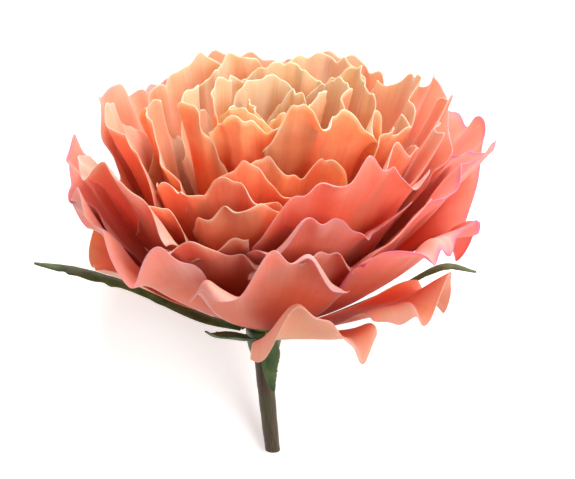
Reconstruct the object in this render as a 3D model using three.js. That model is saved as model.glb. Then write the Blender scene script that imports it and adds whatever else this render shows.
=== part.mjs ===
import * as THREE from "three";

// A cut garden rose lying on its side on a surface, in millimetres, Z up.
// It is described standing first: the flower's axis is Z, its front faces -Y and
// the petals' common base is at the origin. lay() then tips it onto its back.

// ---- driving dimensions ----
const petalThickness = 0.42;
const petalBaseThickness = 0.16;
const petalStart = 0.10;        // where an inner petal leaves the receptacle, along its profile
const outerPetalStart = 0.03;   // the same for the outermost petals, which grow from the hip's rim
const outerFromLevel = 4.4;
const clawHalfWidth = 14;       // degrees, half width of a petal's narrow base
const headLean = 0.075;         // the head leans this far to +X for each mm of height
const stemLength = 27;
const stemTopRadius = 2.5;
const stemCutRadius = 2.0;
const hipTopRadius = 5.0;
const hipWaistRadius = 4.1;
const hipHeight = 9;
const hipTop = -3.2;
const layAngle = 37;            // degrees between the flower's axis and the surface
const pressDepth = 2.5;         // mm of petal that gives way where the head rests
const restHeight = -25.4;       // height of the surface while the base is at the origin

// Petal profiles from the closed heart (0) to the hanging outer petals (6).
// Each row is a cubic curve of radius, height pairs in mm, base first.
const profiles = [
  [1.0, 3.6, 2.0, 20.0, 3.5, 40.0, 2.0, 56.0],
  [2.0, 3.0, 7.0, 18.0, 12.0, 38.0, 11.0, 65.0],
  [3.0, 2.2, 12.0, 12.0, 23.0, 30.0, 23.0, 68.0],
  [3.9, 1.0, 17.0, 11.0, 32.0, 26.0, 38.0, 66.0],
  [4.7, -0.4, 20.0, 9.0, 41.0, 23.0, 50.0, 61.0],
  [5.4, -1.9, 22.0, 5.0, 47.0, 14.0, 60.0, 42.0],
  [5.9, -2.9, 24.0, 0.0, 46.0, 0.0, 60.0, -4.0],
];

// Shared waves in the petals: waves round the flower, phase per profile, start, strength.
const waveRows = [
  [3, 2.1, 0.5, 0.50],
  [5, -3.3, 1.7, 0.35],
  [9, 3.0, 0.3, 0.45],
  [14, -3.4, 2.0, 0.38],
];
const waveHeight = 0.20;        // in profile steps

// ---- petals: name, azimuth, half width (degrees), profile, rim heights left to right, roll ----
// Azimuth runs from the front (0) towards +X; a rim height of 1 is the profile's end.
const evenRim = [0.74, 0.92, 0.97, 0.92, 0.74];
const petalRows = [
  ["bud_1", 10, 95, 0.25, [0.75, 0.93, 0.98, 0.93, 0.75], 0.10],
  ["bud_2", 150, 90, 0.45, [0.72, 0.95, 1.00, 0.92, 0.72], 0.03],
  ["bud_3", -75, 85, 0.65, [0.72, 0.93, 0.97, 0.93, 0.72], 0.06],
  ["bud_4", 65, 80, 0.85, [0.70, 0.92, 0.99, 0.95, 0.72], 0.06],
  ["bud_5", -160, 80, 1.03, [0.70, 0.92, 0.97, 0.93, 0.72], 0.08],
  ["bud_6", -50, 76, 1.20, [0.70, 0.90, 0.95, 0.92, 0.72], 0.08],
  ["heart_1", 110, 72, 1.37, evenRim, 0.08],
  ["heart_2", -115, 70, 1.52, evenRim, 0.04],
  ["heart_3", 178, 66, 1.66, evenRim, 0.08],
  ["heart_4", -14, 36, 1.80, [0.92, 0.98, 0.97, 0.96, 0.98, 0.99, 0.95], 0.20],
  ["heart_5", -80, 56, 1.93, evenRim, 0.12],
  ["heart_6", 38, 48, 1.97, [0.93, 1.01, 1.00, 0.97, 0.95, 0.94, 0.86], 0.12],
  ["heart_7", 125, 50, 2.12, evenRim, 0.05],
  ["cup_1", -155, 48, 2.30, evenRim, 0.14],
  ["cup_2", 8, 36, 2.38, [0.78, 0.88, 0.88, 0.87, 0.90, 0.85, 0.74], 0.03],
  ["cup_3", 70, 42, 2.52, [0.72, 0.88, 0.91, 0.89, 0.72], 0.10],
  ["cup_4", 160, 44, 2.60, evenRim, 0.14],
  ["cup_5", -92, 46, 2.66, [0.72, 0.88, 0.94, 0.88, 0.72], 0.10],
  ["cup_6", -12, 34, 2.75, [0.74, 0.84, 0.88, 0.92, 0.87, 0.84, 0.76], 0.15],
  ["cup_7", 112, 42, 2.86, evenRim, 0.04],
  ["cup_8", -140, 44, 2.93, evenRim, 0.04],
  ["bowl_1", 56, 34, 2.99, [0.72, 0.88, 0.91, 0.88, 0.72], 0.14],
  ["bowl_2", 155, 38, 3.10, evenRim, 0.10],
  ["bowl_3", -31, 35, 3.17, [0.74, 0.83, 0.86, 0.83, 0.92, 0.89, 0.80], 0.05],
  ["bowl_4", -90, 36, 3.26, [0.72, 0.90, 0.95, 0.90, 0.72], 0.16],
  ["bowl_5", 88, 38, 3.35, [0.72, 0.90, 0.95, 0.93, 0.74], 0.16],
  ["bowl_6", -14, 24, 3.43, [0.70, 0.78, 0.84, 0.88, 0.87, 0.82, 0.74], 0.05],
  ["bowl_7", -165, 40, 3.50, evenRim, 0.16],
  ["bowl_8", 24, 32, 3.58, [0.74, 0.90, 0.97, 1.00, 0.93, 0.93, 0.92], 0.20],
  ["bowl_9", 125, 38, 3.70, evenRim, 0.18],
  ["bowl_10", -34, 25, 3.76, [0.76, 0.82, 0.80, 0.74, 0.75, 0.79, 0.80], 0.18],
  ["bowl_11", -115, 36, 3.84, [0.74, 0.92, 0.97, 0.92, 0.74], 0.05],
  ["outer_1", -60, 26, 4.06, [0.80, 0.94, 0.99, 0.97, 0.95, 0.92, 0.82], 0.20],
  ["outer_2", 18, 28, 3.98, [0.74, 0.85, 0.95, 0.87, 0.81, 0.80, 0.88], 0.16],
  ["outer_3", 168, 38, 4.03, evenRim, 0.02],
  ["outer_4", 74, 34, 4.12, [0.72, 0.90, 0.97, 0.97, 0.84], 0.20],
  ["outer_5", -21, 27, 4.18, [0.74, 0.80, 0.83, 0.83, 0.76, 0.79, 0.82], 0.10],
  ["outer_6", -150, 33, 4.25, [0.76, 0.94, 0.99, 0.94, 0.76], 0.10],
  ["outer_7", 20, 28, 4.34, [0.74, 0.83, 0.85, 0.79, 0.77, 0.87, 0.90], 0.12],
  ["outer_8", 118, 36, 4.40, [0.76, 0.94, 0.99, 0.94, 0.76], 0.22],
  ["outer_9", -90, 34, 4.52, [0.74, 0.87, 0.94, 0.94, 0.80], 0.10],
  ["outer_10", 178, 34, 4.54, [0.72, 0.90, 0.95, 0.90, 0.72], 0.16],
  ["outer_11", -49, 27, 4.66, [0.80, 0.94, 0.95, 0.92, 0.86, 0.90, 0.80], 0.08],
  ["outer_12", 56, 31, 4.70, [0.86, 1.02, 0.98, 0.94, 0.91, 0.88, 0.78], 0.20],
  ["outer_13", 0, 25, 4.84, [0.76, 0.86, 0.84, 0.94, 0.94, 0.86, 0.74], 0.10],
  ["guard_1", 148, 32, 4.94, [0.70, 0.84, 0.90, 0.84, 0.70], 0.10],
  ["guard_2", -148, 32, 4.91, [0.70, 0.82, 0.88, 0.84, 0.70], 0.10],
  ["guard_3", -96, 24, 5.04, [0.58, 0.68, 0.74, 0.70, 0.60], 0.04],
  ["guard_4", 54, 26, 5.16, [0.85, 0.92, 0.92, 0.88, 0.82, 0.74, 0.60], 0.06],
  ["guard_5", 17, 22, 5.36, [0.70, 0.88, 0.93, 0.92, 0.85, 0.80, 0.70], 0.06],
];

// Colours by family of petals, from the glowing heart to the pinker outer petals.
const petalColours = {
  bud: "#f2a45c",
  heart: "#f29a58",
  cup: "#f08a52",
  bowl: "#ee7e52",
  outer: "#ee7f68",
  guard: "#e58a6c",
};

// ---- sepals: name, centre line points (upright flower, mm), half widths, facing ----
const sepalRows = [
  ["sepal_1", [[-6, 1.6, -4.2], [-17, 4.5, -1.5], [-34, 9, 4.5], [-50, 12, 8.5], [-62, 14, 9.5]],
    [1.1, 2.6, 2.2, 2.2, 0.4], [0, 0, 1]],
  ["sepal_2", [[6, 1.4, -4.2], [18, 4, -1.5], [36, 8, 5], [48, 10, 10.5], [57, 9, 9]],
    [1.1, 1.6, 0.8, 1.8, 0.4], [0, 0, 1]],
  ["sepal_3", [[-3.4, -4.8, -4.6], [-6, -8, -3.4], [-9.5, -12, -1.2], [-13, -16.5, 1.2], [-15, -21, 4.5]],
    [1.8, 3.2, 2.6, 1.2, 0.3], [-0.3, -0.3, -0.9]],
  ["sepal_4", [[1.2, -5.9, -4.5], [1.6, -6.6, -8], [1.6, -6.8, -12], [1.9, -6.4, -16], [2.6, -6.8, -19]],
    [1.8, 2.6, 2.0, 1.2, 0.3], [0, -1, 0]],
  ["sepal_5", [[-5, 4.2, -5.2], [-11, 9, -3], [-19, 14, -0.5], [-26, 17, 1.5], [-32, 19, 2]],
    [1.0, 2.4, 2.0, 1.4, 0.3], [0, 0, 1]],
];

const degree = Math.PI / 180;

function smooth(x) {
  const t = Math.min(1, Math.max(0, x));
  return t * t * (3 - 2 * t);
}

// Evenly spaced values joined by a smooth curve; x counts from the first value.
function curveThrough(values, x) {
  const last = values.length - 1;
  const at = Math.min(last, Math.max(0, x));
  const i = Math.min(last - 1, Math.floor(at));
  const t = at - i;
  const p1 = values[i];
  const p2 = values[i + 1];
  const p0 = i > 0 ? values[i - 1] : 2 * p1 - p2;
  const p3 = i < last - 1 ? values[i + 2] : 2 * p2 - p1;
  return p1 + 0.5 * t * (p2 - p0 + t * (2 * p0 - 5 * p1 + 4 * p2 - p3 + t * (3 * (p1 - p2) + p3 - p0)));
}

// Radius and height of profile "level" at t along it.
function profilePoint(level, t) {
  const k = [];
  for (let c = 0; c < 8; c++) {
    k.push(curveThrough(profiles.map((row) => row[c]), level));
  }
  const s = 1 - t;
  const weights = [s * s * s, 3 * s * s * t, 3 * s * t * t, t * t * t];
  let radius = 0;
  let height = 0;
  for (let i = 0; i < 4; i++) {
    radius += weights[i] * k[2 * i];
    height += weights[i] * k[2 * i + 1];
  }
  return [radius, height];
}

// Tips the upright flower onto its back and presses the resting petals flat.
function lay(x, y, z) {
  const c = Math.cos(layAngle * degree);
  const s = Math.sin(layAngle * degree);
  const along = z * c + y * s;
  let up = z * s - y * c - restHeight;
  if (up < pressDepth) {
    up = pressDepth * Math.exp((up - pressDepth) / pressDepth);
  }
  return new THREE.Vector3(x, along, up);
}

// One point in the middle of a petal: u runs across (-1 to 1), t up the profile.
function petalPoint(azimuth, halfWidth, level, roll, u, t, top) {
  const across = clawHalfWidth + (halfWidth - clawHalfWidth) * smooth(t / 0.5);
  const angle = (azimuth + u * across) * degree;
  const v = t / top;
  const depth = smooth((v - 0.3) / 0.7);
  let wave = 0;
  for (const [count, phase, start, strength] of waveRows) {
    wave += strength * Math.sin(count * angle + phase * level + start);
  }
  const lip = roll * smooth((v - 0.74) / 0.26) ** 1.6;
  const waving = waveHeight * (0.45 + 0.55 * smooth(level / 3.5));
  const [radius, height] = profilePoint(level + waving * depth * wave + lip, t);
  const x = radius * Math.sin(angle) + headLean * Math.max(0, height);
  return lay(x, -radius * Math.cos(angle), height);
}

// Rows up a petal: shared heights near the base, then two rows that follow the rim.
function petalHeights(level, top) {
  const start = level < outerFromLevel ? petalStart : outerPetalStart;
  const low = [start, 0.19, 0.33, 0.5];
  const rest = top - 0.5;
  return [...low, 0.5 + 0.62 * rest, top];
}

// A closed thin solid round a grid of mid points; thickness(i, j) in mm.
function sheetSolid(grid, thickness) {
  const rows = grid.length;
  const columns = grid[0].length;
  const positions = [];
  const index = [];
  const offsets = [];
  for (let i = 0; i < rows; i++) {
    for (let j = 0; j < columns; j++) {
      const across = grid[i][Math.min(columns - 1, j + 1)].clone().sub(grid[i][Math.max(0, j - 1)]);
      const up = grid[Math.min(rows - 1, i + 1)][j].clone().sub(grid[Math.max(0, i - 1)][j]);
      const normal = across.cross(up).normalize();
      offsets.push(normal.multiplyScalar(thickness(i, j) / 2));
    }
  }
  for (const side of [1, -1]) {
    for (let i = 0; i < rows; i++) {
      for (let j = 0; j < columns; j++) {
        const p = grid[i][j].clone().addScaledVector(offsets[i * columns + j], side);
        positions.push(p.x, p.y, p.z);
      }
    }
  }
  const back = rows * columns;
  for (let i = 0; i < rows - 1; i++) {
    for (let j = 0; j < columns - 1; j++) {
      const a = i * columns + j;
      const b = a + 1;
      const c = a + columns + 1;
      const d = a + columns;
      index.push(a, b, c, a, c, d);
      index.push(back + a, back + c, back + b, back + a, back + d, back + c);
    }
  }
  const rim = [];
  for (let j = 0; j < columns - 1; j++) rim.push(j);
  for (let i = 0; i < rows - 1; i++) rim.push(i * columns + columns - 1);
  for (let j = columns - 1; j > 0; j--) rim.push((rows - 1) * columns + j);
  for (let i = rows - 1; i > 0; i--) rim.push(i * columns);
  rim.forEach((a, n) => {
    const b = rim[(n + 1) % rim.length];
    index.push(a, back + a, back + b, a, back + b, b);
  });
  const geometry = new THREE.BufferGeometry();
  geometry.setAttribute("position", new THREE.Float32BufferAttribute(positions, 3));
  geometry.setIndex(index);
  geometry.computeVertexNormals();
  return geometry;
}

function petalGeometry([name, azimuth, halfWidth, level, rim, roll]) {
  const columns = rim.length > 5 || halfWidth > 60 ? 8 : 6;
  const rows = petalHeights(level, 1).length;
  const grid = [];
  for (let i = 0; i < rows; i++) {
    const row = [];
    for (let j = 0; j <= columns; j++) {
      const u = (2 * j) / columns - 1;
      const top = curveThrough(rim, ((u + 1) / 2) * (rim.length - 1));
      row.push(petalPoint(azimuth, halfWidth, level, roll, u, petalHeights(level, top)[i], top));
    }
    grid.push(row);
  }
  return sheetSolid(grid, (i, j) => {
    const u = Math.abs((2 * j) / columns - 1);
    const t = petalHeights(level, 1)[i];
    const body = petalBaseThickness + (petalThickness - petalBaseThickness) * smooth((t - 0.1) / 0.3);
    return body * (1 - 0.5 * Math.max(t, u) ** 6);
  });
}

function sepalGeometry([name, points, halfWidths, facing]) {
  const steps = 10;
  const face = new THREE.Vector3(...facing).normalize();
  const centre = (t) => {
    const x = t * (points.length - 1);
    return new THREE.Vector3(
      curveThrough(points.map((p) => p[0]), x),
      curveThrough(points.map((p) => p[1]), x),
      curveThrough(points.map((p) => p[2]), x),
    );
  };
  const grid = [];
  for (let i = 0; i <= steps; i++) {
    const t = i / steps;
    const ahead = centre(Math.min(1, t + 0.02)).sub(centre(Math.max(0, t - 0.02)));
    const side = ahead.clone().cross(face).normalize();
    const out = side.clone().cross(ahead).normalize();
    const half = curveThrough(halfWidths, t * (halfWidths.length - 1));
    const row = [];
    for (let j = 0; j <= 4; j++) {
      const u = j / 2 - 1;
      const p = centre(t).addScaledVector(side, u * half).addScaledVector(out, -0.35 * half * u * u);
      row.push(lay(p.x, p.y, p.z));
    }
    grid.push(row);
  }
  return sheetSolid(grid, (i, j) => 0.5 - 0.1 * Math.abs(j / 2 - 1));
}

// A closed round solid on a bent centre line: rings of [x, y, z, radius], flat at both ends.
function roundSolid(rings, sides) {
  const positions = [];
  const index = [];
  for (const [cx, cy, cz, radius] of rings) {
    for (let j = 0; j < sides; j++) {
      const a = (j / sides) * 2 * Math.PI;
      const p = lay(cx + radius * Math.cos(a), cy + radius * Math.sin(a), cz);
      positions.push(p.x, p.y, p.z);
    }
  }
  const ends = [rings[0], rings[rings.length - 1]];
  for (const [cx, cy, cz] of ends) {
    const p = lay(cx, cy, cz);
    positions.push(p.x, p.y, p.z);
  }
  const first = rings.length * sides;
  for (let i = 0; i < rings.length - 1; i++) {
    for (let j = 0; j < sides; j++) {
      const k = (j + 1) % sides;
      const a = i * sides + j;
      const b = i * sides + k;
      index.push(a, b, b + sides, a, b + sides, a + sides);
    }
  }
  for (let j = 0; j < sides; j++) {
    const k = (j + 1) % sides;
    const top = (rings.length - 1) * sides;
    index.push(first, k, j);
    index.push(first + 1, top + j, top + k);
  }
  const geometry = new THREE.BufferGeometry();
  geometry.setAttribute("position", new THREE.Float32BufferAttribute(positions, 3));
  geometry.setIndex(index);
  geometry.computeVertexNormals();
  return geometry;
}

// Green cup that the petals and sepals grow from, swelling towards its top.
function hipGeometry() {
  const rings = [];
  for (let i = 0; i <= 5; i++) {
    const t = i / 5;
    const radius = curveThrough([stemTopRadius + 0.4, hipWaistRadius, hipTopRadius - 0.3, hipTopRadius], t * 3);
    rings.push([0, 0, hipTop - hipHeight * (1 - t), radius]);
  }
  return roundSolid(rings, 20);
}

// Mound inside the flower that carries the petal bases, just under the profiles' start.
function receptacleGeometry() {
  const rings = [];
  for (const level of [4.05, 3.5, 3, 2, 1, 0.3]) {
    const [radius, height] = profilePoint(level, petalStart - 0.04);
    rings.push([headLean * Math.max(0, height), 0, height - 0.2, radius - 0.3]);
  }
  rings.unshift([0, 0, hipTop + 0.3, hipTopRadius - 0.8]);
  return roundSolid(rings, 24);
}

// Bare stem below the hip, bending a little and thinning to the flat cut end.
function stemGeometry() {
  const rings = [];
  for (let i = 0; i <= 5; i++) {
    const t = i / 5;
    const z = hipTop - hipHeight - 0.3 - stemLength * (1 - t);
    const bend = 2.4 * (1 - t) ** 1.3;
    rings.push([bend, 0, z, stemCutRadius + (stemTopRadius - stemCutRadius) * t]);
  }
  return roundSolid(rings, 16);
}

function material(name, colour, roughness) {
  return new THREE.MeshStandardMaterial({ name, color: colour, roughness, metalness: 0 });
}

function addMesh(group, name, geometry, surface) {
  const mesh = new THREE.Mesh(geometry, surface);
  mesh.name = name;
  group.add(mesh);
}

const rose = new THREE.Group();
rose.name = "garden_rose";

for (const row of petalRows) {
  const family = row[0].split("_")[0];
  addMesh(rose, row[0], petalGeometry(row), material(`${family}_petal`, petalColours[family], 0.6));
}
for (const row of sepalRows) {
  addMesh(rose, row[0], sepalGeometry(row), material("sepal_green", "#3c5a34", 0.65));
}
addMesh(rose, "receptacle", receptacleGeometry(), material("receptacle_green", "#8a8a4a", 0.7));
addMesh(rose, "hip", hipGeometry(), material("hip_green", "#3e5230", 0.5));
addMesh(rose, "stem", stemGeometry(), material("stem_bark", "#5a4a38", 0.55));

// Bring the middle of the resting footprint to the origin.
const bounds = new THREE.Box3().setFromObject(rose);
const middle = bounds.getCenter(new THREE.Vector3());
rose.position.set(-middle.x, -middle.y, -bounds.min.z);

export default rose;
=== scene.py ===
import math
import bpy
import numpy as np
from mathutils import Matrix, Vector


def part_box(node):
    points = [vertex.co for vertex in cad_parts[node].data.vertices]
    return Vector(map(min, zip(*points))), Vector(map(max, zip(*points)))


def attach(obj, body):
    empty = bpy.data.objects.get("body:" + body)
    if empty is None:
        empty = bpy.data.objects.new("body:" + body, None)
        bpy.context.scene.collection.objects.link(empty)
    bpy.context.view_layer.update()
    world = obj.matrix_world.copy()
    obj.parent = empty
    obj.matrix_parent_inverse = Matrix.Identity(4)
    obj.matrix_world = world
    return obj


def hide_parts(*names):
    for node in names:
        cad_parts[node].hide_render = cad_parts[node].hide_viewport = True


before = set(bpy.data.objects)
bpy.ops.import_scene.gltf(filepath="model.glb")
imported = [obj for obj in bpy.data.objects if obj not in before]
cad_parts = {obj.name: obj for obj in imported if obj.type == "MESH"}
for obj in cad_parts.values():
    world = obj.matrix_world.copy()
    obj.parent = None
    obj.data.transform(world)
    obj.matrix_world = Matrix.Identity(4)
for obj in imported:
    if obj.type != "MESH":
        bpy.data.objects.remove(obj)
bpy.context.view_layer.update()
print("frame loaded")

# The rose is worked out standing, in mm: its axis is Z, its front faces -Y and the
# petals' common base is at the origin. lay() tips it onto its back, then place() moves
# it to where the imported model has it.

layAngle = 37        # degrees between the flower's axis and the surface
pressDepth = 2.5     # mm of petal that gives way where the head rests
restHeight = -25.4   # height of the surface while the base is at the origin
headLean = 0.075     # the head leans this far to +X for each mm of height

# Petal profiles from the closed heart (0) to the hanging outer petals (6).
# Each row is a cubic curve of radius, height pairs in mm, base first.
profiles = np.array([
    [1.0, 3.6, 2.0, 20.0, 3.5, 40.0, 2.0, 56.0],
    [2.0, 3.0, 7.0, 18.0, 12.0, 38.0, 11.0, 65.0],
    [3.0, 2.2, 12.0, 12.0, 23.0, 30.0, 23.0, 68.0],
    [3.9, 1.0, 17.0, 11.0, 32.0, 26.0, 38.0, 66.0],
    [4.7, -0.4, 20.0, 9.0, 41.0, 23.0, 50.0, 61.0],
    [5.4, -1.9, 22.0, 5.0, 47.0, 14.0, 60.0, 42.0],
    [5.9, -2.9, 24.0, 0.0, 46.0, 0.0, 60.0, -4.0],
])


def smooth(x):
    t = np.clip(x, 0, 1)
    return t * t * (3 - 2 * t)


# evenly spaced values joined by a Catmull-Rom curve; x counts from the first value
def curveThrough(values, x):
    values = np.asarray(values, float)
    padded = np.concatenate([[2 * values[0] - values[1]], values, [2 * values[-1] - values[-2]]])
    last = len(values) - 1
    at = np.clip(x, 0, last)
    i = np.minimum(np.floor(at).astype(int), last - 1)
    t = at - i
    if values.ndim > 1:
        t = t[..., None]
    p0, p1, p2, p3 = padded[i], padded[i + 1], padded[i + 2], padded[i + 3]
    return p1 + 0.5 * t * (p2 - p0 + t * (2 * p0 - 5 * p1 + 4 * p2 - p3 + t * (3 * (p1 - p2) + p3 - p0)))


# radius and height at t along profile "level": cubic Bezier whose control points
# themselves run smoothly from one profile to the next
def profilePoint(level, t):
    k = curveThrough(profiles, level)
    s = 1 - t
    w = [s * s * s, 3 * s * s * t, 3 * s * t * t, t * t * t]
    radius = sum(w[i] * k[..., 2 * i] for i in range(4))
    height = sum(w[i] * k[..., 2 * i + 1] for i in range(4))
    return radius, height


# standing flower to lying flower: a turn about X, then whatever is within pressDepth
# of the surface is squeezed towards it exponentially, so nothing goes below
def lay(points):
    c, s = math.cos(math.radians(layAngle)), math.sin(math.radians(layAngle))
    x, y, z = points[..., 0], points[..., 1], points[..., 2]
    along = z * c + y * s
    up = z * s - y * c - restHeight
    pressed = pressDepth * np.exp((np.minimum(up, pressDepth) - pressDepth) / pressDepth)
    return np.stack([x, along, np.where(up < pressDepth, pressed, up)], -1)


# rings of radius r(t) round a centre line c(t): point = c + r (cos a, sin a, 0)
def ringPoints(centres, radii, sides):
    a = np.arange(sides) / sides * 2 * math.pi
    ring = np.stack([np.cos(a), np.sin(a), np.zeros(sides)], -1)
    return centres[:, None, :] + radii[:, None, None] * ring[None]


hip = {
    "top": -3.2, "height": 9, "waistRadius": 4.1, "topRadius": 5.0, "neckRadius": 2.9,
    "rings": 40, "sides": 96, "ridge": 0.03,
}


def hipRings(steps):
    t = np.linspace(0, 1, steps)
    knots = [hip["neckRadius"], hip["waistRadius"], hip["topRadius"] - 0.3, hip["topRadius"]]
    radii = curveThrough(knots, t * 3)
    centres = np.stack([0 * t, 0 * t, hip["top"] - hip["height"] * (1 - t)], -1)
    return centres, radii


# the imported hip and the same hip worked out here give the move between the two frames
hipHere = lay(ringPoints(*hipRings(6), 20)).reshape(-1, 3)
hipPacked = np.array(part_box("hip")[0]) * 1000
toFrame = hipPacked - hipHere.min(axis=0)


def place(points):   # mm standing to metres in the frame
    return (lay(points) + toFrame) / 1000


# a mesh in the frame with its values at each point and its growth map, standing for one node
def makePiece(name, verts, faces, material, node, values, uv):
    mesh = bpy.data.meshes.new(name)
    mesh.from_pydata(verts.tolist(), [], faces)
    for key, data in values.items():
        layer = mesh.attributes.new(key, "FLOAT", "POINT")
        layer.data.foreach_set("value", np.asarray(data, np.float32).ravel())
    layer = mesh.uv_layers.new(name="growthMap")
    corners = np.empty(len(mesh.loops), np.int32)
    mesh.loops.foreach_get("vertex_index", corners)
    layer.data.foreach_set("uv", uv[corners].astype(np.float32).ravel())
    mesh.shade_smooth()
    mesh.materials.append(material)
    piece = bpy.data.objects.new(name, mesh)
    bpy.context.scene.collection.objects.link(piece)
    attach(piece, "root")
    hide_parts(node)
    return piece


# normals of a grid of points: the cross product of its column and row differences
def gridNormals(grid):
    across = np.gradient(grid, axis=1)
    up = np.gradient(grid, axis=0)
    n = np.cross(across, up)
    return n / np.maximum(np.linalg.norm(n, axis=-1, keepdims=True), 1e-9)


# the two faces of a thin sheet: the grid moved half its thickness along its normals, each way
def thicken(grid, thickness):
    offset = gridNormals(grid) * thickness[..., None] / 2
    return np.concatenate([(grid + offset).reshape(-1, 3), (grid - offset).reshape(-1, 3)])


def bothFaces(values):   # one value for each point of a sheet's front, then of its back
    return np.tile(values.ravel(), 2)


# quads of a thickened grid, front and back, with a strip that joins them round the rim
def sheetFaces(rows, columns):
    index = np.arange(rows * columns).reshape(rows, columns)
    front = np.stack([index[:-1, :-1], index[:-1, 1:], index[1:, 1:], index[1:, :-1]], -1).reshape(-1, 4)
    count = rows * columns
    rim = np.concatenate([index[0, :-1], index[:-1, -1], index[-1, :0:-1], index[:0:-1, 0]])
    after = np.roll(rim, -1)
    edge = np.stack([rim, rim + count, after + count, after], -1)
    return np.concatenate([front, front[:, ::-1] + count, edge]).tolist()


petalShape = {
    "thickness": 0.42, "baseThickness": 0.16, "start": 0.10, "outerStart": 0.03, "outerFrom": 4.4,
    "clawHalfWidth": 14, "waveHeight": 0.20, "rows": 49, "columns": 65, "rowCrowding": 1.35,
    "lipFrom": 0.74, "tipFrom": 0.84, "tipSpread": 0.22, "tipDrop": 0.045,   # how the rim rolls out
}

# waves round the flower, phase per profile, start, strength
broadWaves = [(3, 2.1, 0.5, 0.50), (5, -3.3, 1.7, 0.35), (9, 3.0, 0.3, 0.45), (14, -3.4, 2.0, 0.38)]
# finer waves that only the rims show: about 12 and 8 mm long on the outer petals
rimWaves = [(23, 5.0, 1.1, 0.060), (37, -8.0, 0.4, 0.030)]
# unevenness of the rim's height, same units along the profile
raggedWaves = [(13, 5.0, 0.2, 0.012), (29, 12.0, 1.3, 0.008), (53, 23.0, 2.9, 0.003)]

evenRim = [0.74, 0.92, 0.97, 0.92, 0.74]
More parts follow.
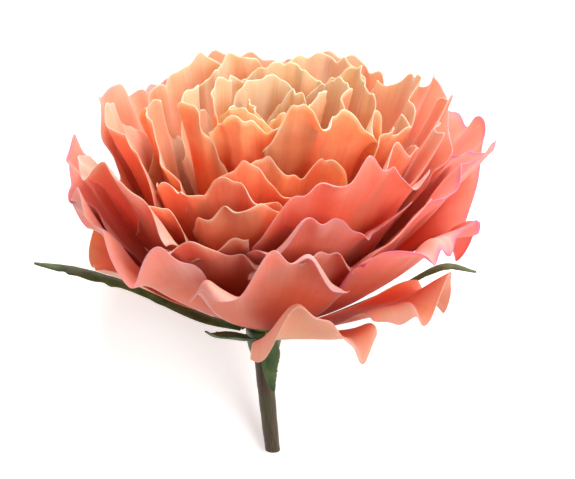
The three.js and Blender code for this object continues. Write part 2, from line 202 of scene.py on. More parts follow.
# name, azimuth, half width (degrees), profile, rim heights left to right, roll, blush, curl
petals = [
    ("bud_1", 10, 95, 0.25, [0.75, 0.93, 0.98, 0.93, 0.75], 0.10, 0.0, 0.4),
    ("bud_2", 150, 90, 0.45, [0.72, 0.95, 1.00, 0.92, 0.72], 0.03, 0.0, 0.4),
    ("bud_3", -75, 85, 0.65, [0.72, 0.93, 0.97, 0.93, 0.72], 0.06, 0.0, 0.4),
    ("bud_4", 65, 80, 0.85, [0.70, 0.92, 0.99, 0.95, 0.72], 0.06, 0.0, 0.4),
    ("bud_5", -160, 80, 1.03, [0.70, 0.92, 0.97, 0.93, 0.72], 0.08, 0.0, 0.4),
    ("bud_6", -50, 76, 1.20, [0.70, 0.90, 0.95, 0.92, 0.72], 0.08, 0.0, 0.4),
    ("heart_1", 110, 72, 1.37, evenRim, 0.08, 0.0, 0.4),
    ("heart_2", -115, 70, 1.52, evenRim, 0.04, 0.0, 0.4),
    ("heart_3", 178, 66, 1.66, evenRim, 0.08, 0.0, 0.4),
    ("heart_4", -14, 36, 1.80, [0.92, 0.98, 0.97, 0.96, 0.98, 0.99, 0.95], 0.20, 0.0, 1.0),
    ("heart_5", -80, 56, 1.93, evenRim, 0.12, 0.0, 0.5),
    ("heart_6", 38, 48, 1.97, [0.93, 1.01, 1.00, 0.97, 0.95, 0.94, 0.86], 0.12, 0.0, 1.2),
    ("heart_7", 125, 50, 2.12, evenRim, 0.05, 0.0, 0.4),
    ("cup_1", -155, 48, 2.30, evenRim, 0.14, 0.0, 0.4),
    ("cup_2", 8, 36, 2.38, [0.78, 0.88, 0.88, 0.87, 0.90, 0.85, 0.74], 0.03, 0.1, 0.9),
    ("cup_3", 70, 42, 2.52, [0.72, 0.88, 0.91, 0.89, 0.72], 0.10, 0.1, 0.5),
    ("cup_4", 160, 44, 2.60, evenRim, 0.14, 0.0, 0.4),
    ("cup_5", -92, 46, 2.66, [0.72, 0.88, 0.94, 0.88, 0.72], 0.10, 0.1, 0.5),
    ("cup_6", -12, 34, 2.75, [0.74, 0.84, 0.88, 0.92, 0.87, 0.84, 0.76], 0.15, 0.3, 1.0),
    ("cup_7", 112, 42, 2.86, evenRim, 0.04, 0.1, 0.4),
    ("cup_8", -140, 44, 2.93, evenRim, 0.04, 0.1, 0.4),
    ("bowl_1", 56, 34, 2.99, [0.72, 0.88, 0.91, 0.88, 0.72], 0.14, 0.3, 0.6),
    ("bowl_2", 155, 38, 3.10, evenRim, 0.10, 0.2, 0.4),
    ("bowl_3", -31, 35, 3.17, [0.74, 0.83, 0.86, 0.83, 0.92, 0.89, 0.80], 0.05, 0.2, 1.0),
    ("bowl_4", -90, 36, 3.26, [0.72, 0.90, 0.95, 0.90, 0.72], 0.16, 0.2, 0.6),
    ("bowl_5", 88, 38, 3.35, [0.72, 0.90, 0.95, 0.93, 0.74], 0.16, 0.4, 0.6),
    ("bowl_6", -14, 24, 3.43, [0.70, 0.78, 0.84, 0.88, 0.87, 0.82, 0.74], 0.05, 0.1, 1.0),
    ("bowl_7", -165, 40, 3.50, evenRim, 0.16, 0.3, 0.5),
    ("bowl_8", 24, 32, 3.58, [0.74, 0.90, 0.97, 1.00, 0.93, 0.93, 0.92], 0.20, 0.6, 1.0),
    ("bowl_9", 125, 38, 3.70, evenRim, 0.18, 0.4, 0.5),
    ("bowl_10", -34, 25, 3.76, [0.76, 0.82, 0.80, 0.74, 0.75, 0.79, 0.80], 0.18, 0.2, 1.0),
    ("bowl_11", -115, 36, 3.84, [0.74, 0.92, 0.97, 0.92, 0.74], 0.05, 0.4, 0.6),
    ("outer_1", -60, 26, 4.06, [0.80, 0.94, 0.99, 0.97, 0.95, 0.92, 0.82], 0.20, 0.3, 0.8),
    ("outer_2", 18, 28, 3.98, [0.74, 0.85, 0.95, 0.87, 0.81, 0.80, 0.88], 0.16, 0.6, 1.0),
    ("outer_3", 168, 38, 4.03, evenRim, 0.02, 0.5, 0.5),
    ("outer_4", 74, 34, 4.12, [0.72, 0.90, 0.97, 0.97, 0.84], 0.20, 0.9, 0.6),
    ("outer_5", -21, 27, 4.18, [0.74, 0.80, 0.83, 0.83, 0.76, 0.79, 0.82], 0.10, 0.3, 1.0),
    ("outer_6", -150, 33, 4.25, [0.76, 0.94, 0.99, 0.94, 0.76], 0.10, 0.6, 0.6),
    ("outer_7", 20, 28, 4.34, [0.74, 0.83, 0.85, 0.79, 0.77, 0.87, 0.90], 0.12, 0.4, 1.0),
    ("outer_8", 118, 36, 4.40, [0.76, 0.94, 0.99, 0.94, 0.76], 0.22, 0.8, 0.6),
    ("outer_9", -90, 34, 4.52, [0.74, 0.87, 0.94, 0.94, 0.80], 0.10, 0.7, 0.6),
    ("outer_10", 178, 34, 4.54, [0.72, 0.90, 0.95, 0.90, 0.72], 0.16, 0.5, 0.5),
    ("outer_11", -49, 27, 4.66, [0.80, 0.94, 0.95, 0.92, 0.86, 0.90, 0.80], 0.08, 0.6, 0.6),
    ("outer_12", 56, 31, 4.70, [0.86, 1.02, 0.98, 0.94, 0.91, 0.88, 0.78], 0.20, 1.0, 1.0),
    ("outer_13", 0, 25, 4.84, [0.76, 0.86, 0.84, 0.94, 0.94, 0.86, 0.74], 0.10, 0.5, 1.0),
    ("guard_1", 148, 32, 4.94, [0.70, 0.84, 0.90, 0.84, 0.70], 0.10, 0.5, 0.4),
    ("guard_2", -148, 32, 4.91, [0.70, 0.82, 0.88, 0.84, 0.70], 0.10, 0.4, 0.4),
    ("guard_3", -96, 24, 5.04, [0.58, 0.68, 0.74, 0.70, 0.60], 0.04, 0.2, 0.3),
    ("guard_4", 54, 26, 5.16, [0.85, 0.92, 0.92, 0.88, 0.82, 0.74, 0.60], 0.06, 0.3, 0.8),
    ("guard_5", 17, 22, 5.36, [0.70, 0.88, 0.93, 0.92, 0.85, 0.80, 0.70], 0.06, 0.2, 0.8),
]


def waveSum(waves, angle, level):
    return sum(size * np.sin(count * angle + phase * level + start) for count, phase, start, size in waves)


# A petal is a patch of one profile's surface of revolution. Across it, u runs from -1 to 1
# and the angle is azimuth + u width, with the width growing from a narrow claw. Up it, t
# runs from the receptacle to the rim, whose height is a smooth curve through the rim list
# plus ragged waves. The profile number itself is shifted by waves that grow towards the
# rim and by an outward lip, and since they are the same function for every petal,
# neighbours ripple together and don't pass through each other.
def petalGrid(azimuth, halfWidth, level, rim, roll, curl):
    shape = petalShape
    u, s = np.meshgrid(np.linspace(-1, 1, shape["columns"]), np.linspace(0, 1, shape["rows"]))
    s = 1 - (1 - s) ** shape["rowCrowding"]   # rows crowd towards the rim
    rimAngle = np.radians(azimuth + u * halfWidth)
    full = smooth(level / 3.5)   # the small inner petals have fewer and lower waves
    top = curveThrough(rim, (u + 1) / 2 * (len(rim) - 1)) + full * waveSum(raggedWaves, rimAngle, level)
    start = shape["start"] if level < shape["outerFrom"] else shape["outerStart"]
    t = start + (top - start) * s
    v = t / top
    across = shape["clawHalfWidth"] + (halfWidth - shape["clawHalfWidth"]) * smooth(t / 0.5)
    angle = np.radians(azimuth + u * across)
    depth = smooth((v - 0.3) / 0.7)
    nearRim = smooth((v - 0.62) / 0.38)
    lip = roll * smooth((v - shape["lipFrom"]) / (1 - shape["lipFrom"])) ** 1.6
    rolled = 0.6 + 0.4 * np.sin(11 * angle + 5 * level)
    tip = np.clip((v - shape["tipFrom"]) / (1 - shape["tipFrom"]), 0, 1) ** 2 * curl * rolled
    waving = shape["waveHeight"] * (0.45 + 0.55 * full)
    shifted = level + waving * depth * waveSum(broadWaves, angle, level)
    shifted = shifted + lip + shape["tipSpread"] * tip
    shifted = shifted + full * nearRim ** 2 * waveSum(rimWaves, angle, level)
    radius, height = profilePoint(shifted, t - shape["tipDrop"] * tip ** 1.5)
    x = radius * np.sin(angle) + headLean * np.maximum(0, height)
    grid = np.stack([x, -radius * np.cos(angle), height], -1)
    return grid, u, t, v


def makePetal(row, material):
    name, azimuth, halfWidth, level, rim, roll, blush, curl = row
    shape = petalShape
    grid, u, t, v = petalGrid(azimuth, halfWidth, level, rim, roll, curl)
    thickening = smooth((t - shape["start"]) / 0.3)
    body = shape["baseThickness"] + (shape["thickness"] - shape["baseThickness"]) * thickening
    thickness = body * (1 - 0.55 * np.maximum(v, np.abs(u)) ** 6)   # thins to the rim
    verts = thicken(place(grid) * 1000, thickness) / 1000

    steps = np.linalg.norm(np.diff(grid, axis=0), axis=-1)
    along = np.concatenate([np.zeros((1, shape["columns"])), np.cumsum(steps, 0)])
    columnMm = np.linalg.norm(np.gradient(grid, axis=1), axis=-1)
    sideMm = (1 - np.abs(u)) * columnMm * (shape["columns"] - 1) / 2
    values = {
        "rimward": bothFaces(v),
        "edgeMm": bothFaces(np.minimum(along[-1:] - along, sideMm)),   # distance to the nearest edge
        "blush": bothFaces(np.full(u.shape, blush)),
        "outerFace": np.concatenate([np.ones(u.size), np.zeros(u.size)]),
    }
    acrossMm = u * np.radians(halfWidth) * 40   # growth map: across and along the petal, 100 mm a unit
    uv = np.stack([bothFaces(acrossMm) / 100 + azimuth, bothFaces(along) / 100 + level], -1)
    return makePiece("petal_" + name, verts, sheetFaces(*u.shape), material, name, values, uv)


def toLinear(hexColour):
    parts = [int(hexColour[i:i + 2], 16) / 255 for i in (1, 3, 5)]
    return [c / 12.92 if c <= 0.04045 else ((c + 0.055) / 1.055) ** 2.4 for c in parts] + [1]


# adds one node, sets its properties and inputs, and links any input given as a socket
def add(tree, kind, settings=None, **inputs):
    node = tree.nodes.new(kind)
    for key, value in (settings or {}).items():
        setattr(node, key, value)
    for key, value in inputs.items():
        at = int(key[1:]) if key[0] == "i" and key[1:].isdigit() else key.replace("_", " ")
        socket = node.inputs[at]
        if isinstance(value, bpy.types.NodeSocket):
            tree.links.new(value, socket)
        else:
            socket.default_value = value
    return node


def newMaterial(name):
    material = bpy.data.materials.new(name)
    material.use_nodes = True
    tree = material.node_tree
    shader = tree.nodes["Principled BSDF"]
    return material, tree, shader


def setRamp(node, stops):
    ramp = node.color_ramp
    while len(ramp.elements) > 1:
        ramp.elements.remove(ramp.elements[-1])
    ramp.elements[0].position = stops[0][0]
    ramp.elements[0].color = toLinear(stops[0][1])
    for position, colour in stops[1:]:
        ramp.elements.new(position).color = toLinear(colour)
    return node.outputs["Color"]


petalLooks = {
    # base, middle and rim colours of the outer face, of the inner face, then the thin edge; the deep bases
    # are partly painted shade deep in the flower, the paler inner faces partly painted top light, and the
    # edge colour a painted highlight
    "bud": {
        "outer": ("#e4480f", "#f07c34", "#fbcaa4"),
        "inner": ("#e65a18", "#f6a868", "#fdd8b8"),
        "edge": "#fde0c4",
    },
    "heart": {
        "outer": ("#dc3808", "#e65a1c", "#f8b084"),
        "inner": ("#e2501a", "#f39c60", "#fcd2b0"),
        "edge": "#fcdabc",
    },
    "cup": {
        "outer": ("#d8360c", "#e85c26", "#f7aa7c"),
        "inner": ("#dc4416", "#f08c54", "#fac8a6"),
        "edge": "#fbd2b2",
    },
    "bowl": {
        "outer": ("#d43410", "#e8602f", "#f49c74"),
        "inner": ("#d63c16", "#ed8050", "#f8bc9c"),
        "edge": "#fac8ac",
    },
    "outer": {
        "outer": ("#d84420", "#ec7048", "#f5a288"),
        "inner": ("#d44018", "#ee8660", "#f6b8a0"),
        "edge": "#f8c4ac",
    },
    "guard": {
        "outer": ("#cc8050", "#e4946c", "#efa886"),
        "inner": ("#d86440", "#ea8a66", "#f2b098"),
        "edge": "#eeb294",
    },
}
blushPink = "#f08684"      # where an outer petal turns pink
blushEdge = "#dc6c96"      # lilac pink on its very edge
veinGreen = "#c8a878"      # green-beige veins of the guard petals


# Fresh rose petal: thin living tissue, grown, with a velvety skin of tiny domed cells.
# Light passes into it and out again, so it glows orange in the folds, and its matt
# skin runs from deep orange at the base to pale at the rim, partly its own colour and partly painted shade
# deep in the flower, with paler inner faces partly painted top light; fine veins fan up from the base.
def petalMaterial(family):
    look = petalLooks[family]
    material, tree, shader = newMaterial("livingRosePetal_" + family)
    rimward = add(tree, "ShaderNodeAttribute", {"attribute_name": "rimward"}).outputs["Fac"]
    edgeMm = add(tree, "ShaderNodeAttribute", {"attribute_name": "edgeMm"}).outputs["Fac"]
    blush = add(tree, "ShaderNodeAttribute", {"attribute_name": "blush"}).outputs["Fac"]
    outerFace = add(tree, "ShaderNodeAttribute", {"attribute_name": "outerFace"}).outputs["Fac"]
    growth = add(tree, "ShaderNodeUVMap", {"uv_map": "growthMap"}).outputs["UV"]
    place3d = add(tree, "ShaderNodeTexCoord").outputs["Object"]

    # patches about 8 mm across, where colour comes and goes
    patches = add(tree, "ShaderNodeTexNoise", None, Vector=place3d, Scale=120, Detail=3).outputs["Fac"]
    shiftRim = add(tree, "ShaderNodeMath", {"operation": "MULTIPLY_ADD"}, i0=patches, i1=0.28, i2=-0.14)
    rimAt = add(tree, "ShaderNodeMath", {"operation": "ADD"}, i0=rimward, i1=shiftRim.outputs[0]).outputs[0]
    # painted shade: both ramps darken and deepen towards the petal base, partly the petal's own colour and
    # partly the shade deep in the flower; the inner face's paler ramp is partly painted top light
    outer = setRamp(add(tree, "ShaderNodeValToRGB", None, Fac=rimAt),
                    [(0.3, look["outer"][0]), (0.72, look["outer"][1]), (1.0, look["outer"][2])])
    inner = setRamp(add(tree, "ShaderNodeValToRGB", None, Fac=rimAt),
                    [(0.25, look["inner"][0]), (0.65, look["inner"][1]), (1.0, look["inner"][2])])
    colour = add(tree, "ShaderNodeMix", {"data_type": "RGBA"}, i0=outerFace, i6=inner, i7=outer).outputs[2]

    # pink comes in over the upper half of a blushing petal, in patches
    smoothly = {"interpolation_type": "SMOOTHSTEP"}
    high = add(tree, "ShaderNodeMapRange", smoothly, Value=rimAt, i1=0.55, i2=1.05)
    pinkAmount = add(tree, "ShaderNodeMath", {"operation": "MULTIPLY"}, i0=high.outputs[0], i1=blush)
    pinkSoft = add(tree, "ShaderNodeMath", {"operation": "MULTIPLY"}, i0=pinkAmount.outputs[0], i1=0.75)
    colour = add(tree, "ShaderNodeMix", {"data_type": "RGBA"}, i0=pinkSoft.outputs[0], i6=colour,
                 i7=toLinear(blushPink)).outputs[2]

    # veins 1.2 mm apart across and long along the petal, fanning with the growth map
    stretch = add(tree, "ShaderNodeMapping", None, Vector=growth, Scale=(85, 5, 1))
    veins = add(tree, "ShaderNodeTexNoise", None,
        Vector=stretch.outputs[0], Scale=1.0, Detail=4, Roughness=0.6)
    veinLine = add(tree, "ShaderNodeMapRange", None, Value=veins.outputs["Fac"], i1=0.52, i2=0.68)
    veinDepth = add(tree, "ShaderNodeMath", {"operation": "MULTIPLY"}, i0=veinLine.outputs[0],
                    i1=0.42 if family == "guard" else 0.14)
    veinColour = toLinear(veinGreen if family == "guard" else look["outer"][0])
    colour = add(tree, "ShaderNodeMix", {"data_type": "RGBA"}, i0=veinDepth.outputs[0], i6=colour,
                 i7=veinColour).outputs[2]

    # the last 1.5 mm: a painted highlight, pale as if light came through the thin edge, and lilac on blushing
    # petals, which is their own colour
    thinEdge = add(tree, "ShaderNodeMapRange", {"interpolation_type": "SMOOTHSTEP"}, Value=edgeMm,
                   i1=0.0, i2=2.0, i3=0.85, i4=0.0)
    edgeHighlightAndLilac = add(tree, "ShaderNodeMix", {"data_type": "RGBA"}, i0=blush, i6=toLinear(look["edge"]),
                   i7=toLinear(blushEdge)).outputs[2]
    edgeAmount = add(tree, "ShaderNodeMath", {"operation": "MULTIPLY"}, i0=thinEdge.outputs[0], i1=patches)
    edgeStrong = add(tree, "ShaderNodeMath", {"operation": "MULTIPLY", "use_clamp": True},
                     i0=edgeAmount.outputs[0], i1=1.9)
    colour = add(tree, "ShaderNodeMix", {"data_type": "RGBA"}, i0=edgeStrong.outputs[0], i6=colour,
                 i7=edgeHighlightAndLilac).outputs[2]
    tree.links.new(colour, shader.inputs["Base Color"])

    # skin cells are 0.03 mm across, too fine to show, so the velvet is drawn at 0.5 mm
    cells = add(tree, "ShaderNodeTexNoise", None, Vector=place3d, Scale=1900, Detail=2).outputs["Fac"]
    relief = add(tree, "ShaderNodeMath", {"operation": "MULTIPLY_ADD"}, i0=cells, i1=0.25,
                 i2=veins.outputs["Fac"])
    bump = add(tree, "ShaderNodeBump", None, Strength=0.35, Distance=0.0003, Height=relief.outputs[0])
    tree.links.new(bump.outputs[0], shader.inputs["Normal"])
    rough = add(tree, "ShaderNodeMapRange", None, Value=patches, i3=0.48, i4=0.66)
    tree.links.new(rough.outputs[0], shader.inputs["Roughness"])
    shader.inputs["IOR"].default_value = 1.4
    shader.inputs["Specular IOR Level"].default_value = 0.35
    shader.inputs["Subsurface Weight"].default_value = 0.6
    shader.inputs["Subsurface Radius"].default_value = (1.0, 0.42, 0.24)
    shader.inputs["Subsurface Scale"].default_value = 0.0016
    shader.inputs["Sheen Weight"].default_value = 0.12
    shader.inputs["Sheen Roughness"].default_value = 0.4
    return material


greenLooks = {
    # deep colour, lighter colour, tint, how much tint, roughness
    "sepal": {"deep": "#24401f", "light": "#5d7a42", "tint": "#7a4034", "tintAmount": 0.35, "rough": 0.55},
    "hip": {"deep": "#26381c", "light": "#56683a", "tint": "#6a4432", "tintAmount": 0.3, "rough": 0.38},
    "receptacle": {"deep": "#8a8a46", "light": "#b8b070", "tint": "#c89058", "tintAmount": 0.3, "rough": 0.6},
}


# Green flower tissue, sepal or hip: waxy skin over fleshy cells, darker in patches,
# reddened by sun, with faint ridges that run along it.
def greenMaterial(kind):
    look = greenLooks[kind]
    material, tree, shader = newMaterial("waxyGreen_" + kind)
    place3d = add(tree, "ShaderNodeTexCoord").outputs["Object"]
    growth = add(tree, "ShaderNodeUVMap", {"uv_map": "growthMap"}).outputs["UV"]
    patches = add(tree, "ShaderNodeTexNoise", None, Vector=place3d, Scale=260, Detail=4).outputs["Fac"]
    ramp = add(tree, "ShaderNodeValToRGB", None, Fac=patches)
    colour = setRamp(ramp, [(0.3, look["deep"]), (0.72, look["light"])])
    sun = add(tree, "ShaderNodeTexNoise", None, Vector=place3d, Scale=90, Detail=2).outputs["Fac"]
    sunAmount = add(tree, "ShaderNodeMapRange", None, Value=sun, i1=0.48, i2=0.7, i4=look["tintAmount"])
    colour = add(tree, "ShaderNodeMix", {"data_type": "RGBA"}, i0=sunAmount.outputs[0], i6=colour,
                 i7=toLinear(look["tint"])).outputs[2]
    stretch = add(tree, "ShaderNodeMapping", None, Vector=growth, Scale=(160, 8, 1))
    ridges = add(tree, "ShaderNodeTexNoise", None,
        Vector=stretch.outputs[0], Scale=1.0, Detail=3).outputs["Fac"]
    dark = add(tree, "ShaderNodeMapRange", None, Value=ridges, i1=0.35, i2=0.6, i3=0.35, i4=0.0)
    colour = add(tree, "ShaderNodeMix", {"data_type": "RGBA"}, i0=dark.outputs[0], i6=colour,
                 i7=toLinear(look["deep"])).outputs[2]
    tree.links.new(colour, shader.inputs["Base Color"])
    bump = add(tree, "ShaderNodeBump", None, Strength=0.5, Distance=0.0003, Height=ridges)
    tree.links.new(bump.outputs[0], shader.inputs["Normal"])
    shader.inputs["Roughness"].default_value = look["rough"]
    shader.inputs["IOR"].default_value = 1.45
    shader.inputs["Subsurface Weight"].default_value = 0.08
    shader.inputs["Subsurface Radius"].default_value = (0.4, 0.8, 0.2)
    shader.inputs["Subsurface Scale"].default_value = 0.001
    return material


stemLook = {"deep": "#33281e", "light": "#6d5844", "green": "#4c5232", "cut": "#b8a882", "pith": "#8c7a58"}


# Young rose wood: smooth bark, green going purple-brown, with long streaks and a pale cut end.
def stemMaterial():
    material, tree, shader = newMaterial("youngRoseBark")
    growth = add(tree, "ShaderNodeUVMap", {"uv_map": "growthMap"}).outputs["UV"]
    place3d = add(tree, "ShaderNodeTexCoord").outputs["Object"]
    stretch = add(tree, "ShaderNodeMapping", None, Vector=growth, Scale=(260, 14, 1))
    streaks = add(tree, "ShaderNodeTexNoise", None,
        Vector=stretch.outputs[0], Scale=1.0, Detail=5).outputs["Fac"]
    bark = setRamp(add(tree, "ShaderNodeValToRGB", None, Fac=streaks),
                   [(0.3, stemLook["deep"]), (0.7, stemLook["light"])])
    mossy = add(tree, "ShaderNodeTexNoise", None, Vector=place3d, Scale=140, Detail=2).outputs["Fac"]
    greenAmount = add(tree, "ShaderNodeMapRange", None, Value=mossy, i1=0.42, i2=0.68, i4=0.6)
    bark = add(tree, "ShaderNodeMix", {"data_type": "RGBA"}, i0=greenAmount.outputs[0], i6=bark,
               i7=toLinear(stemLook["green"])).outputs[2]
    cutFace = add(tree, "ShaderNodeAttribute", {"attribute_name": "cutFace"}).outputs["Fac"]
    fibres = add(tree, "ShaderNodeTexNoise", None, Vector=place3d, Scale=1800, Detail=3).outputs["Fac"]
    wood = setRamp(add(tree, "ShaderNodeValToRGB", None, Fac=fibres),
                   [(0.35, stemLook["pith"]), (0.65, stemLook["cut"])])
    colour = add(tree, "ShaderNodeMix", {"data_type": "RGBA"}, i0=cutFace, i6=bark, i7=wood).outputs[2]
    tree.links.new(colour, shader.inputs["Base Color"])
    bump = add(tree, "ShaderNodeBump", None, Strength=0.6, Distance=0.0002, Height=streaks)
    tree.links.new(bump.outputs[0], shader.inputs["Normal"])
    shader.inputs["Roughness"].default_value = 0.5
    shader.inputs["IOR"].default_value = 1.45
    return material


petalMaterials = {family: petalMaterial(family) for family in petalLooks}
for row in petals:
    family = row[0].split("_")[0]
    makePetal(row, petalMaterials[family])
print("petals made")


sepalShape = {"steps": 90, "columns": 17, "thickness": 0.5, "fold": 0.35}

# name, centre line points (standing flower, mm), half widths, facing, tooth height
sepals = [
    ("sepal_1", [[-6, 1.6, -4.2], [-17, 4.5, -1.5], [-34, 9, 4.5], [-50, 12, 8.5], [-62, 14, 9.5]],
     [1.1, 2.6, 2.2, 2.2, 0.4], [0, 0, 1], 0.30),
    ("sepal_2", [[6, 1.4, -4.2], [18, 4, -1.5], [36, 8, 5], [48, 10, 10.5], [57, 9, 9]],
     [1.1, 1.6, 0.8, 1.8, 0.4], [0, 0, 1], 0.12),
    ("sepal_3", [[-3.4, -4.8, -4.6], [-6, -8, -3.4], [-9.5, -12, -1.2], [-13, -16.5, 1.2], [-15, -21, 4.5]],
     [1.8, 3.2, 2.6, 1.2, 0.3], [-0.3, -0.3, -0.9], 0.15),
    ("sepal_4", [[1.2, -5.9, -4.5], [1.6, -6.6, -8], [1.6, -6.8, -12], [1.9, -6.4, -16], [2.6, -6.8, -19]],
     [1.8, 2.6, 2.0, 1.2, 0.3], [0, -1, 0], 0.15),
    ("sepal_5", [[-5, 4.2, -5.2], [-11, 9, -3], [-19, 14, -0.5], [-26, 17, 1.5], [-32, 19, 2]],
     [1.0, 2.4, 2.0, 1.4, 0.3], [0, 0, 1], 0.15),
]


# A sepal is a strip along a curve c(t): point = c + u w(t) side - fold w(t) u^2 out, where
# side is across the curve and out is away from its face; its width w has small teeth.
def makeSepal(row, material):
    name, points, halfWidths, facing, teeth = row
    t = np.linspace(0, 1, sepalShape["steps"])
    last = len(points) - 1
    centre = curveThrough(points, t * last)
    after = curveThrough(points, np.clip(t + 0.02, 0, 1) * last)
    before = curveThrough(points, np.clip(t - 0.02, 0, 1) * last)
    ahead = after - before
    side = np.cross(ahead, np.array(facing) / np.linalg.norm(facing))
    side /= np.linalg.norm(side, axis=-1, keepdims=True)
    out = np.cross(side, ahead)
    out /= np.linalg.norm(out, axis=-1, keepdims=True)
    half = curveThrough(halfWidths, t * (len(halfWidths) - 1))
    half = half * (1 + teeth * smooth((t - 0.3) / 0.3) * np.abs(np.sin(19 * t + np.sin(31 * t))) ** 2)
    u = np.linspace(-1, 1, sepalShape["columns"])
    grid = centre[:, None] + side[:, None] * (u[None, :, None] * half[:, None, None])
    grid = grid - out[:, None] * (sepalShape["fold"] * half[:, None] * u[None] ** 2)[..., None]
    thickness = sepalShape["thickness"] * (1 - 0.45 * np.abs(u) ** 3)
    verts = thicken(place(grid) * 1000, np.tile(thickness, (len(t), 1))) / 1000
    acrossMap = u[None] * half[:, None] / 100
    alongMap = np.repeat(t[:, None], len(u), 1) * 0.5
    uv = np.stack([bothFaces(acrossMap), bothFaces(alongMap)], -1)
    faces = sheetFaces(len(t), len(u))
    return makePiece("leafy_" + name, verts, faces, material, name, {}, uv)


sepalGreen = greenMaterial("sepal")
for row in sepals:
    makeSepal(row, sepalGreen)
print("sepals made")


# quads round a stack of rings, with a fan of triangles to a middle point at each end
def roundFaces(rings, sides):
    j = np.arange(sides)
    k = (j + 1) % sides
    i = np.arange(rings - 1)[:, None] * sides
    wall = np.stack([i + j, i + k, i + sides + k, i + sides + j], -1).reshape(-1, 4)
    count = rings * sides
    low = np.stack([np.full(sides, count), k, j], -1)
    high = np.stack([np.full(sides, count + 1), count - sides + j, count - sides + k], -1)
    return wall.tolist() + low.tolist() + high.tolist()


# Closed round piece: point = c(t) + r(t) (1 + wobble(a, z)) (cos a, sin a, 0), and smaller
# rings close each end. cutFace is 1 on the lower end where the piece was cut.
def makeRound(name, centres, radii, sides, material, node, wobble, isCut):
    ends = np.array([0.33, 0.66])
    centres = np.concatenate([[centres[0]] * 2, centres, [centres[-1]] * 2])
    radii = np.concatenate([radii[0] * ends, radii, radii[-1] * ends[::-1]])
    grid = ringPoints(centres, radii, sides)
    angle = np.arange(sides) / sides * 2 * math.pi
    middle = centres[:, None, :]
    grid = middle + (grid - middle) * (1 + wobble(angle[None], grid[..., 2]))[..., None]
    rings = len(centres)
    verts = place(np.concatenate([grid.reshape(-1, 3), [centres[0], centres[-1]]]))
    around = np.tile(np.arange(sides) / sides * 0.3, rings)
    upward = np.repeat(np.linspace(0, 0.4, rings), sides)
    uv = np.concatenate([np.stack([around, upward], -1), [[0, 0], [0, 0.4]]])
    cutFace = np.zeros(len(verts))
    if isCut:
        cutFace[:2 * sides] = 1
        cutFace[rings * sides] = 1
    faces = roundFaces(rings, sides)
    return makePiece(name, verts, faces, material, node, {"cutFace": cutFace}, uv)


def fiveRidges(angle, z):   # low ridges under the sepals, fading down the hip
    return hip["ridge"] * np.sin(5 * angle + 0.4) * smooth((z - hip["top"] + 6) / 6)


def knobbly(angle, z):   # bark that isn't quite round
    return 0.02 * np.sin(3 * angle + 0.2 * z) + 0.015 * np.sin(0.9 * z + 2 * angle)


def evenRound(angle, z):
    return 0 * angle * z


def makeHip():
    centres, radii = hipRings(hip["rings"])
    material = greenMaterial("hip")
    makeRound("rose_hip", centres, radii, hip["sides"], material, "hip", fiveRidges, False)


mound = {"levels": [4.05, 3.5, 3, 2, 1, 0.3], "at": 0.06, "sides": 48}


def makeMound():   # carries the petal bases, just under where their profiles start
    levels = np.array(mound["levels"])
    radius, height = profilePoint(levels, np.full(len(levels), mound["at"]))
    radii = np.concatenate([[hip["topRadius"] - 0.8], radius - 0.3])
    heights = np.concatenate([[hip["top"] + 0.3], height - 0.2])
    leaning = headLean * np.maximum(0, np.concatenate([[0], height]))
    centres = np.stack([leaning, 0 * leaning, heights], -1)
    material = greenMaterial("receptacle")
    makeRound("petal_mound", centres, radii, mound["sides"], material, "receptacle",
              evenRound, False)


stem = {"length": 27, "topRadius": 2.5, "cutRadius": 2.0, "bend": 2.4, "gap": 0.3, "rings": 90, "sides": 64}


def makeStem():
    t = np.linspace(0, 1, stem["rings"])
    bend = stem["bend"] * (1 - t) ** 1.3
    height = hip["top"] - hip["height"] - stem["gap"] - stem["length"] * (1 - t)
    centres = np.stack([bend, 0 * t, height], -1)
    radii = stem["cutRadius"] + (stem["topRadius"] - stem["cutRadius"]) * t
    makeRound("cut_stem", centres, radii, stem["sides"], stemMaterial(), "stem", knobbly, True)


makeHip()
makeMound()
makeStem()
print("hip, petal mound and stem made")


def floorMaterial():   # matt white paper sweep, pressed smooth: no gloss, faint tooth
    material, tree, shader = newMaterial("mattWhitePaper")
    place3d = add(tree, "ShaderNodeTexCoord").outputs["Object"]
    tooth = add(tree, "ShaderNodeTexNoise", None, Vector=place3d, Scale=900, Detail=2).outputs["Fac"]
    bump = add(tree, "ShaderNodeBump", None, Strength=0.1, Distance=0.0002, Height=tooth)
    tree.links.new(bump.outputs[0], shader.inputs["Normal"])
    shader.inputs["Base Color"].default_value = toLinear("#fafafa")
    shader.inputs["Roughness"].default_value = 0.9
    shader.inputs["Specular IOR Level"].default_value = 0.1
    shader.inputs["Emission Color"].default_value = (1, 1, 1, 1)   # the sweep is lit from below
    shader.inputs["Emission Strength"].default_value = 0.45
    return material


floorHalf = 3.0
floorTop = -0.0004


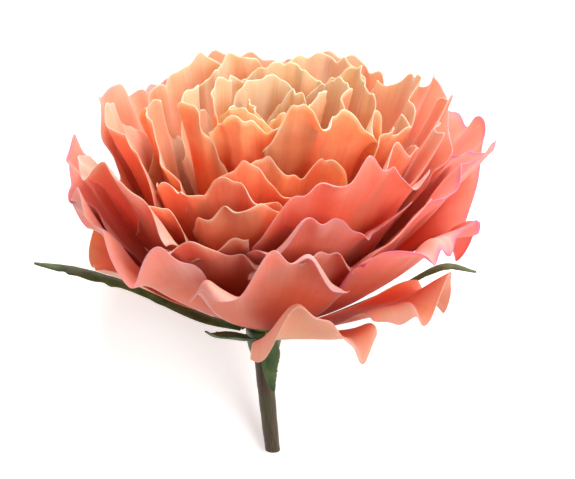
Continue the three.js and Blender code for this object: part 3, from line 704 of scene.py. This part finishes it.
def makeFloor():
    corners = [(-1, -1), (1, -1), (1, 1), (-1, 1)]
    points = [(x * floorHalf, y * floorHalf, floorTop) for x, y in corners]
    mesh = bpy.data.meshes.new("paper_floor")
    mesh.from_pydata(points, [], [(0, 1, 2, 3)])
    mesh.materials.append(floorMaterial())
    floor = bpy.data.objects.new("paper_floor", mesh)
    bpy.context.scene.collection.objects.link(floor)


makeFloor()

lights = [
    # name, place, aim, size, power
    ("softKey", (0.22, 0.78, 0.5), (0, 0.0, 0.05), 0.42, 10.5),
    ("softFill", (0.5, -0.25, 0.75), (0, 0, 0.04), 0.5, 4.5),
    ("softLeft", (-0.7, -0.1, 0.5), (0, 0, 0.04), 0.5, 0.5),
]


def makeLights():
    for name, at, aim, size, power in lights:
        data = bpy.data.lights.new(name, "AREA")
        data.size = size
        data.energy = power
        light = bpy.data.objects.new(name, data)
        light.location = at
        light.rotation_mode = "QUATERNION"
        light.rotation_quaternion = (Vector(aim) - Vector(at)).to_track_quat("-Z", "Y")
        bpy.context.scene.collection.objects.link(light)


def makeWorld():
    world = bpy.data.worlds.new("paleStudio")
    world.use_nodes = True
    background = world.node_tree.nodes["Background"]
    background.inputs["Color"].default_value = (1, 1, 1, 1)
    background.inputs["Strength"].default_value = 0.30
    bpy.context.scene.world = world
    bpy.context.scene.view_settings.view_transform = "Standard"


# the camera looks down on the lying flower, lookDown degrees above the flower's own level
view = {
    "lookDown": 21, "distance": 0.7, "aimHeight": 28, "mmPerWidth": 151.0,
    "shiftX": 0.0409, "shiftY": -0.0380,
}


def makeCamera():
    camera = bpy.data.objects.new("camera", bpy.data.cameras.new("camera"))
    bpy.context.scene.collection.objects.link(camera)
    tilt = math.radians(view["lookDown"] - layAngle)
    toCamera = Vector((0, math.sin(tilt), math.cos(tilt)))
    aimAt = Vector(place(np.array([0.0, 0.0, view["aimHeight"]])))
    camera.location = aimAt + toCamera * view["distance"]
    camera.rotation_mode = "QUATERNION"
    camera.rotation_quaternion = (-toCamera).to_track_quat("-Z", "Y")
    camera.data.sensor_width = 36
    camera.data.lens = camera.data.sensor_width * view["distance"] * 1000 / view["mmPerWidth"]
    camera.data.shift_x = view["shiftX"]
    camera.data.shift_y = view["shiftY"]
    camera.data.clip_end = 20
    bpy.context.scene.camera = camera


makeLights()
makeWorld()
makeCamera()
print("floor, lights and camera made")
